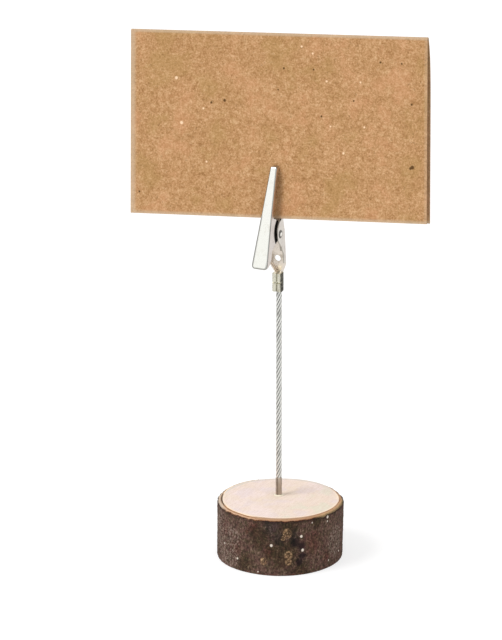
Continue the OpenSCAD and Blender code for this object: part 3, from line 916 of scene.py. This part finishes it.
ROPE_METAL = metal("rope_steel", "fbfbf7", "a5a39c", 0.2, 0.6, 9000, 0.2, rope_valley_shade)


def sleeve_look(net):
    """Pressed steel with upright stains, and a painted dark reflection in a thin upright line where its edges
    meet, with a faint groove.
    """
    stains = net.noise(1500, 4, 0.6, (1, 1, 0.12))
    spots = net.noise(2600, 3, 0.6)
    parts = net.parts()
    # Painted dark reflection: a thin upright dark line on the front, with a faint groove bumped in along it.
    seam_and_reflection = (parts["Y"] * -1).between(0.72 * MM, 0.86 * MM) * parts["X"].between(0.3 * MM, 0.1 * MM)
    worn = net.mix(stains.between(0.35, 0.7) * 0.6, "c6b8aa", "938471")
    return (
        net.coats(worn, (spots.between(0.58, 0.72) * 0.4, "5a4d42"), (seam_and_reflection * 0.55, "5b4a3c")),
        0.42 + 0.2 * stains,
        net.bump(stains * 0.5 + spots * 0.5 - seam_and_reflection, 0.35, 0.03 * MM),
    )


SLEEVE_METAL = finish_of("sleeve_steel", sleeve_look, Metallic=1)

# %% [markdown]
# ## Sleeve
# The lower end of the rope sits in a short pressed sleeve, which keeps the wires together and gives the
# glue something to hold. It is a lathed tube with broken corners, dented a little where the tool closed on
# it.

# %% The sleeve
SLEEVE_WALL = 0.2
SLEEVE_FOOT = 6.9


def sleeve_wobble(a, k):
    return -0.012 * math.cos(3 * a + 0.6) - 0.012 if 2 <= k <= 6 else 0


sleeve_outline = [
    (SLEEVE_RADIUS - inset, height)
    for inset, height in (
        (SLEEVE_WALL, SLEEVE_FOOT), (0, SLEEVE_FOOT), (0, SLICE_HEIGHT + 0.5), (0, SLICE_HEIGHT + 2),
        (0.035, SLICE_HEIGHT + 2.6), (0, SLICE_HEIGHT + 3.2), (0, SLEEVE_TOP - 0.12),
        (0.05, SLEEVE_TOP - 0.02), (0.09, SLEEVE_TOP), (SLEEVE_WALL, SLEEVE_TOP),
    )
]
sleeve = sharpen(lathe("pressed_sleeve", sleeve_outline, SLEEVE_METAL, sleeve_wobble), 40)
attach(sleeve, "stand")
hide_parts("end_sleeve")

# %% [markdown]
# ## Wire rope
# The stem is laid up twice: seven fine wires make a strand, and six strands are laid round a core wire.
# All wires follow one rule, so Geometry Nodes lay them. One straight line is copied once for each wire. The
# number of a copy tells its strand and its place there, and the place along the line tells how far strand
# and rope have turned. A round profile then gives each line its thickness.

# %% The tree that lays the rope
SOCKETS = {float: "NodeSocketFloat", int: "NodeSocketInt", bpy.types.Material: "NodeSocketMaterial"}


def rope_tree(values):
    """The tree with one input for each value, of the value's kind."""
    tree = bpy.data.node_groups.new("lay_rope", "GeometryNodeTree")
    tree.interface.new_socket("Geometry", in_out="OUTPUT", socket_type="NodeSocketGeometry")
    for name, value in values.items():
        tree.interface.new_socket(name, in_out="INPUT", socket_type=SOCKETS[type(value)])
    net = Net(tree)
    given = net.node("NodeGroupInput")
    line = net.node("GeometryNodeCurvePrimitiveLine")
    fine = net.node("GeometryNodeResampleCurve", None, line, Count=given["Steps"])
    copies = net.node(
        "GeometryNodeDuplicateElements", {"domain": "SPLINE"}, fine, Amount=given["Strands"] * given["Wires"],
    )
    number = copies["Duplicate Index"]
    along = net.node("GeometryNodeSplineParameter")["Factor"]
    strand = net.maths("FLOOR", number / given["Wires"])
    place = number - strand * given["Wires"]
    turn = 2 * math.pi * (strand / given["Strands"] + given["Rope turns"] * along)
    own = 2 * math.pi * (place / (given["Wires"] - 1) - given["Strand turns"] * along)
    off = given["Wire width"] * net.maths("LESS_THAN", place, given["Wires"] - 1.5)
    out = given["Lay radius"] + off * net.maths("COSINE", own)
    side = off * net.maths("SINE", own)
    cosine, sine = net.maths("COSINE", turn), net.maths("SINE", turn)
    up = given["Foot"] + given["Length"] * along
    spot = net.join(out * cosine - side * sine, out * sine + side * cosine, up)
    laid = net.node("GeometryNodeSetPosition", None, copies, Position=spot)
    ring = net.node("GeometryNodeCurvePrimitiveCircle", None, Resolution=6, Radius=given["Wire width"] * 0.5)
    wires = net.node("GeometryNodeCurveToMesh", None, laid, ring, Fill_Caps=True)
    solid = net.node("GeometryNodeRealizeInstances", None, wires)
    done = net.node("GeometryNodeSetMaterial", None, solid, Material=given["Wire finish"])
    net.node("NodeGroupOutput", None, done)
    return tree


def run_tree(name, tree, values):
    """Runs a Geometry Nodes tree on an empty mesh and keeps its result as a plain mesh."""
    start = add(name + "_start", bpy.data.meshes.new(name + "_start"))
    nodes = start.modifiers.new("nodes", "NODES")
    nodes.node_group = tree
    for item in tree.interface.items_tree:
        if item.in_out == "INPUT":
            nodes[item.identifier] = values[item.name]
    data = settled(start)
    data.name = name
    bpy.data.objects.remove(start)
    data.polygons.foreach_set("use_smooth", [True] * len(data.polygons))
    return add(name, data)


# %% The rope
STEM_TOP = 76.2
STRANDS = 6
STRAND = 0.53
LAY_RADIUS = 1.105 * STRAND
LAY = 9
STRAND_LAY = 3.9
WIRES = 7
ROPE_STEPS = 200
ROPE_LENGTH = STEM_TOP - SLEEVE_TOP

laid = {
    "Foot": SLEEVE_TOP * MM, "Length": ROPE_LENGTH * MM, "Lay radius": LAY_RADIUS * MM,
    "Wire width": STRAND / 3 * MM, "Rope turns": ROPE_LENGTH / LAY, "Strand turns": ROPE_LENGTH / STRAND_LAY,
    "Strands": STRANDS, "Wires": WIRES, "Steps": ROPE_STEPS, "Wire finish": ROPE_METAL,
}
rope = run_tree("wire_rope", rope_tree(laid), laid)
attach(rope, "stand")
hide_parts(*[f"rope_strand_{i}" for i in range(1, 7)])
dress("rope_core", ROPE_METAL)
tell(rope)

# %% [markdown]
# ## The jaws
# Both jaws are pressed from one thickness of sheet: a face that is folded into two side walls. The solids
# have the right outline but razor sharp folds, and light shows a fold by its roundness. So each solid is
# copied, its triangles are merged into clean faces, the long outer folds are rounded by almost the sheet's
# thickness, and all other edges are broken a little. The cut edges of the sheet get a duller finish.

# %% Rounded pressings
SHEET = 0.4
FOLD_ROUND = 0.38
EDGE_ROUND = 0.05
HOLE_HEIGHT = 85.7
BARREL_TOP = 82


def clean_copy(node, name):
    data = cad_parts[node].data.copy()
    data.name = name
    data.materials.clear()
    made = add(name, data)
    with editing(made) as mesh:
        bmesh.ops.remove_doubles(mesh, verts=mesh.verts, dist=2e-6)
        bmesh.ops.dissolve_limit(mesh, angle_limit=math.radians(0.6), verts=mesh.verts, edges=mesh.edges)
        bmesh.ops.recalc_face_normals(mesh, faces=mesh.faces)
    return made


def round_edges(made, pick, width, segments, clamp):
    with editing(made) as mesh:
        edges = [e for e in mesh.edges if len(e.link_faces) == 2 and pick(e)]
        bmesh.ops.bevel(
            mesh, geom=edges, offset=width * MM, offset_type="OFFSET", segments=segments, profile=0.5,
            affect="EDGES", clamp_overlap=clamp, loop_slide=True,
        )
    return len(edges)


def is_sharp(edge):
    return edge.calc_face_angle(0) > math.radians(32)


def is_fold(line, low_z):
    """Picks the edges that turn down all round the jaw's face, but not the hole's."""
    def pick(edge):
        on_face = all(abs(behind(line, v.co)) < 0.03 * MM for v in edge.verts)
        middle = (edge.verts[0].co + edge.verts[1].co) / 2
        at_hole = math.hypot(middle.x, middle.z - HOLE_HEIGHT * MM) < 1.2 * MM and low_z < HOLE_HEIGHT
        return on_face and is_sharp(edge) and middle.z > low_z * MM and not at_hole
    return pick


def dull_cuts(made, line, low_z, front, wall):
    """Cut edges, inner faces, outer walls and the barrel each get a finish of their own. The walls' finish is
    a darker copy of the nickel, which is painted shade.
    """
    kinds = ("front", "cut", "inside", "wall", "barrel")
    for finish in (front, NICKEL_EDGE, NICKEL_INSIDE, wall, NICKEL_BARREL):
        made.data.materials.append(finish)
    for face in made.data.polygons:
        depth = abs(behind(line, face.center))
        across = abs(face.normal.x) < 0.45
        outwards = face.normal.x * math.copysign(1, face.center.x)
        if face.center.z < BARREL_TOP * MM:
            kind = "barrel"
        elif face.center.z < low_z * MM:
            kind = "inside"
        elif face.normal.z < -0.3 and depth < SHEET * MM:
            kind = "cut"
        elif across and (depth > (SHEET + 0.06) * MM or abs(face.normal.z) > 0.9):
            kind = "cut"
        elif (across and depth > 0.5 * SHEET * MM) or outwards < -0.45:
            kind = "inside"
        else:
            kind = "wall" if outwards > 0.8 else "front"
        face.material_index = kinds.index(kind)


def behind(line, spot):
    """How far a point lies behind a bent line in the Y-Z plane, given by three points in millimetres."""
    low, high = line[:2] if spot.z < line[1][1] * MM else line[1:]
    share = (spot.z / MM - low[1]) / (high[1] - low[1])
    return spot.y - (low[0] + (high[0] - low[0]) * share) * MM


FRONT_LINE = [(-13.073, 85.9), (-8.211, 100.1), (-3.6, 112.7)]
REAR_LINE = [(-0.4, 84.5), (-1.73, 97.3), (-0.084, 112.7)]


def press(node, name, line, low_z, front, wall):
    made = clean_copy(node, name)
    folds = round_edges(made, is_fold(line, low_z), FOLD_ROUND, 5, False)
    dull_cuts(made, line, low_z, front, wall)
    edges = round_edges(made, is_sharp, EDGE_ROUND, 2, True)
    sharpen(made, 35)
    weighted = made.modifiers.new("weighted", "WEIGHTED_NORMAL")
    weighted.keep_sharp = True
    data = settled(made)
    made.modifiers.remove(weighted)
    made.data = data
    print(name, "has", folds, "rounded folds and", edges, "broken edges")
    tell(made)
    return made


front_press = press("front_jaw", "front_pressing", FRONT_LINE, 85.8, NICKEL_LEVER, NICKEL_SHADED)
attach(front_press, "lever")
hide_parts("front_jaw")
rear_press = press("rear_jaw", "rear_pressing", REAR_LINE, 84.6, NICKEL, NICKEL_SHADED_WALL)
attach(rear_press, "stand")
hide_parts("rear_jaw")

# %% [markdown]
# ## Pivot pin
# The jaws turn on a rivet. A hammered rivet has low domed heads, so the outline that is turned round its
# axis ends in a quarter of an ellipse on each side.

# %% The rivet
PIN_RADIUS = 0.6
HEAD_RADIUS = 0.85
HEAD_HEIGHT = 0.25
HALF_SPAN = 2.564
RIVET_SEGMENTS = 48


def round_pivot(x, radius, a):
    """A point in millimetres at an angle round the pivot's axis."""
    return Vector((x, PIVOT[1] + radius * math.cos(a), PIVOT[2] + radius * math.sin(a)))


def rivet_outline():
    dome = [
        (HEAD_RADIUS * math.cos(math.radians(a)), HALF_SPAN + HEAD_HEIGHT * math.sin(math.radians(a)))
        for a in (4, 15, 30, 45, 60, 75, 87)
    ]
    half = [(PIN_RADIUS, HALF_SPAN), (HEAD_RADIUS, HALF_SPAN)] + dome
    return [(r, -x) for r, x in reversed(half)] + half


def make_rivet():
    outline = rivet_outline()
    sides = len(outline)
    turns = [2 * math.pi * i / RIVET_SEGMENTS for i in range(RIVET_SEGMENTS)]
    points = [round_pivot(x, r, a) * MM for a in turns for r, x in outline]
    faces = skin_faces(RIVET_SEGMENTS, sides, True, False)
    for end in (0, sides - 1):
        faces.append([i * sides + end for i in range(RIVET_SEGMENTS)])
    return sharpen(face_out(piece_from("rivet", points, faces, PIN_METAL)), 40)


rivet = make_rivet()
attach(rivet, "stand")
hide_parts("pivot_pin")
tell(rivet)

# %% [markdown]
# ## Card
# The card is one sheet of unbleached board, folded along its top, and both leaves are pinched in the clip.
# The front leaf lies flat. The back leaf follows it at the clip and stands off towards both ends. The piece
# is a fine sheet of points: the rounded fold, two leaves, and the thickness of the board.

# %% The card's sheet
CARD_WIDTH = 88.9
CARD_HEIGHT = 50.8
BOARD = 0.3
FOLD_GAP = 0.4
LEAF_SPREAD = 2.2
LEAF_PINCH = 0.1
CARD_SHIFT = 0.4
CARD_LEAN = math.radians(12.15)
CARD_ROLL = math.radians(5.45)
GRIP = Vector((0, -1.9, 112.3))
CARD_FOOT = 14.193
LEAF_FLAT = 2.6
PART_WIDTH = 16
PART_HEIGHT = 5
FOLD_FROM = 0.46
FOLD_TO = 0.54
FOLD_SHARE = 0.08
FOLD_STEPS = 10
LEAF_STEPS = 30
CARD_COLUMNS = 120
FOLD_RADIUS = BOARD + FOLD_GAP / 2


def leaf_gap(x, up):
    off = max(0, abs(x + CARD_SHIFT) - LEAF_FLAT)
    apart = 1 - 1 / (1 + (off / PART_WIDTH) ** 2)
    down = CARD_HEIGHT - FOLD_RADIUS - up
    pinched = FOLD_GAP + (LEAF_PINCH - FOLD_GAP) * min(1, down / (CARD_HEIGHT - FOLD_RADIUS - CARD_FOOT))
    spread = FOLD_GAP + (LEAF_SPREAD - FOLD_GAP) * (1 - math.exp(-down / PART_HEIGHT))
    return pinched + (spread - pinched) * apart


def card_pair(x, share):
    """The outer and inner point of the board at a share of the way over the fold, as (through, up)."""
    flat = CARD_HEIGHT - FOLD_RADIUS
    if share < FOLD_FROM:
        up = flat * share / FOLD_FROM
        return (0, up), (BOARD, up)
    if share > FOLD_TO:
        up = flat * (1 - share) / FOLD_FROM
        gap = leaf_gap(x, up)
        return (2 * BOARD + gap, up), (BOARD + gap, up)
    a = math.pi * (share - FOLD_FROM) / FOLD_SHARE
    cosine, sine = math.cos(a), math.sin(a)
    inside = FOLD_RADIUS - BOARD
    return (
        (FOLD_RADIUS - FOLD_RADIUS * cosine, flat + FOLD_RADIUS * sine),
        (FOLD_RADIUS - inside * cosine, flat + inside * sine),
    )


def place_on_clip(x, through, up):
    """From the card's own directions to the holder's: roll it, lean it back and set it in the grip."""
    x, up = x + CARD_SHIFT, up - CARD_FOOT
    rolled_x = x * math.cos(CARD_ROLL) - up * math.sin(CARD_ROLL)
    rolled_up = x * math.sin(CARD_ROLL) + up * math.cos(CARD_ROLL)
    y = through * math.cos(CARD_LEAN) + rolled_up * math.sin(CARD_LEAN)
    z = rolled_up * math.cos(CARD_LEAN) - through * math.sin(CARD_LEAN)
    return (GRIP + Vector((rolled_x, y, z))) * MM


def make_card(material):
    shares = [FOLD_FROM * k / LEAF_STEPS for k in range(LEAF_STEPS + 1)]
    shares += [FOLD_FROM + FOLD_SHARE * k / FOLD_STEPS for k in range(1, FOLD_STEPS)]
    shares += [FOLD_TO + FOLD_FROM * k / LEAF_STEPS for k in range(LEAF_STEPS + 1)]
    order = [*shares, *reversed(shares)]
    points = []
    layers = {"sheet_x": [], "sheet_y": []}
    for i in range(CARD_COLUMNS + 1):
        x = CARD_WIDTH * (i / CARD_COLUMNS - 0.5)
        pairs = [card_pair(x, s) for s in shares]
        loop = [p[0] for p in pairs] + [p[1] for p in reversed(pairs)]
        for share, (through, up) in zip(order, loop):
            points.append(place_on_clip(x, through, up))
            layers["sheet_x"].append(x)
            layers["sheet_y"].append(up if share < 0.5 else 2 * CARD_HEIGHT - up)
    sides = len(order)
    faces = skin_faces(CARD_COLUMNS + 1, sides, False)
    for start in (0, CARD_COLUMNS * sides):
        for k in range(len(shares) - 1):
            faces.append((start + k, start + k + 1, start + sides - 2 - k, start + sides - 1 - k))
    made = piece_from("folded_card", points, faces, material)
    carry(made, layers)
    return sharpen(face_out(made), 60)


# %% [markdown]
# Kraft board is pressed from unbleached fibres. Close up it is a mat of lighter and darker threads with
# clouds of olive and rose between them, and its edges are worn pale. Each of these is one noise at its own
# size. A few flecks catch the eye, so they have places of their own on the sheet, which the mesh carries as
# two attributes.

# %% The finish of the card
# Flecks as (right, up, size) in millimetres on the open sheet
PALE_FLECKS = [
    (-29, 25.4, 0.5), (-30.6, 37.7, 0.48), (19.7, 18.5, 0.34), (14.6, 38, 0.32), (7.1, 47.3, 0.32),
    (25.9, 25.8, 0.3), (24.7, 38, 0.3), (-22.4, 29.5, 0.3), (10.4, 45.5, 0.3), (-21.4, 14.9, 0.3),
    (15.8, 25.7, 0.28), (-12, 78, 0.5), (20, 66, 0.4), (-33, 70, 0.35), (31, 90, 0.4),
]
DARK_FLECKS = [
    (40.2, 15.3, 0.6), (39.6, 15, 0.4), (-16, 31.9, 0.46), (-20, 31.2, 0.36), (30.6, 43.6, 0.34),
    (-41.8, 6, 0.32), (13.1, 28.4, 0.34), (39.9, 32.4, 0.34), (1.8, 41.2, 0.34), (10.7, 41.1, 0.3),
    (36.9, 43.4, 0.3), (22.7, 32.9, 0.3), (0.1, 35.3, 0.26), (5, 84, 0.4), (-25, 60, 0.35),
    (36, 74, 0.3),
]


def card_look(net):
    sheet_x, sheet_y = net.layer("sheet_x"), net.layer("sheet_y")

    def flecks(spots):
        """The shares of all flecks in a list, each a small soft disc on the sheet."""
        total = 0
        for x, y, size in spots:
            away = net.maths("POWER", sheet_x - x, 2) + net.maths("POWER", sheet_y - y, 2)
            total = away.between((1.2 * size) ** 2, (0.4 * size) ** 2) + total
        return total

    clouds = net.noise(85, 4, 0.6)
    mottle = net.noise(620, 4, 0.65)
    grain = net.noise(1900, 4, 0.8)
    thread = net.noise(2100, 2, 0.5, (0.3, 1, 1), (0, 0.25, 0))
    specks = net.noise(1150, 2, 0.6)
    left = sheet_x.between(2 - CARD_WIDTH / 2, 0.6 - CARD_WIDTH / 2)
    right = sheet_x.between(CARD_WIDTH / 2 - 1, CARD_WIDTH / 2 - 0.4)
    from_fold = net.maths("ABSOLUTE", sheet_y - CARD_HEIGHT)
    fold = from_fold.between(1.1, 0.4)
    foot = from_fold.between(CARD_HEIGHT - 1.2, CARD_HEIGHT - 0.2)
    edge = net.maths("MINIMUM", left + right * 0.4 + fold + foot, 1)
    # Painted shadow of the clip: a dark strip on the card beside the jaw, above its foot.
    off_jaw = sheet_x - (sheet_y - CARD_FOOT) * math.tan(CARD_ROLL)
    low = sheet_y.between(CARD_FOOT + 0.5, CARD_FOOT - 5)
    clip_shadow = off_jaw.between(0.3, 1.1) * off_jaw.between(3, 1.8) * low
    base = net.ramp(
        mottle * 0.26 + grain * 0.6 + clouds * 0.14,
        (0.33, "835a33"), (0.445, "aa7d50"), (0.54, "c4986b"), (0.68, "e3c199"),
    )
    shown = net.coats(
        base,
        (clouds.between(0.5, 0.36) * 0.3, "b3935a"),
        (clouds.between(0.52, 0.66) * 0.3, "cd9068"),
        (thread.between(0.58, 0.7) * 0.25, "dcb98d"),
        (specks.between(0.64, 0.74) * 0.5, "7b5a35"),
        (edge * 0.58, "cab499"),
        (clip_shadow * 0.22, "50351c"),
        (flecks(PALE_FLECKS) * 0.8, "ffe0bb"),
        (net.maths("MINIMUM", flecks(DARK_FLECKS), 1) * 0.95, "5a3d1e"),
    )
    return shown, 0.78 + 0.12 * grain, net.bump(grain * 0.7 + thread * 0.2 + mottle * 0.3, 0.4, 0.06 * MM)


card = make_card(finish_of("kraft_card", card_look, Specular_IOR_Level=0.2))
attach(card, "card")
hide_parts("place_card")
tell(card)

# %% [markdown]
# ## Spring
# A torsion spring sits on the rivet: one leg presses on the lever, the other on the tail plate. When the
# lever is squeezed, one leg swings with it and the coil winds up. It is a round profile swept along the
# same path as the solid, only finer: from the lever's leg round the coil to the tail's leg.

# %% The spring
SPRING_WIRE = 0.36
SPRING_SIDES = 10
COIL_RADIUS = 0.93
COIL_STEPS = 90
LEG_STEPS = 12
LEVER_LEG = (-11.29, 89.2)
TAIL_LEG = (-1.4, 88.2)
spring_low, spring_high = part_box("jaw_spring")
COIL_HALF = (spring_high.x - spring_low.x) / 2 / MM - SPRING_WIRE / 2


def tube(name, path, width, sides, material):
    """A closed round tube along a path of points in millimetres."""
    points = []
    count = len(path)
    for i, spot in enumerate(path):
        way = (path[min(count - 1, i + 1)] - path[max(0, i - 1)]).normalized()
        first = way.cross(Vector((1, 0, 0))).normalized()
        second = way.cross(first)
        for k in range(sides):
            a = 2 * math.pi * k / sides
            points.append((spot + (first * math.cos(a) + second * math.sin(a)) * width / 2) * MM)
    faces = skin_faces(count, sides, False)
    faces.append(list(range(sides)))
    faces.append([(count - 1) * sides + k for k in range(sides)])
    return face_out(piece_from(name, points, faces, material))


def leg_angles(leg):
    """The angle at which a leg's end lies round the pivot, and how far from it the leg touches the coil."""
    ahead, up = leg[0] - PIVOT[1], leg[1] - PIVOT[2]
    return math.degrees(math.atan2(up, ahead)), math.degrees(math.acos(COIL_RADIUS / math.hypot(ahead, up)))


def spring_path():
    lever_at, lever_off = leg_angles(LEVER_LEG)
    tail_at, tail_off = leg_angles(TAIL_LEG)
    start = lever_at - lever_off + 360
    end = tail_at + tail_off - 720
    lever = Vector((-COIL_HALF, *LEVER_LEG))
    tail = Vector((COIL_HALF, *TAIL_LEG))
    touch = round_pivot(-COIL_HALF, COIL_RADIUS, math.radians(start))
    path = [lever, *(lever.lerp(touch, k / LEG_STEPS) for k in range(1, LEG_STEPS))]
    for k in range(COIL_STEPS + 1):
        a = math.radians(start + (end - start) * k / COIL_STEPS)
        path.append(round_pivot(COIL_HALF * (2 * k / COIL_STEPS - 1), COIL_RADIUS, a))
    touch = path[-1]
    return path + [touch.lerp(tail, k / LEG_STEPS) for k in range(1, LEG_STEPS + 1)]


spring = tube("wound_spring", spring_path(), SPRING_WIRE, SPRING_SIDES, SPRING_METAL)
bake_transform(spring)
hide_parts("jaw_spring")
tell(spring)
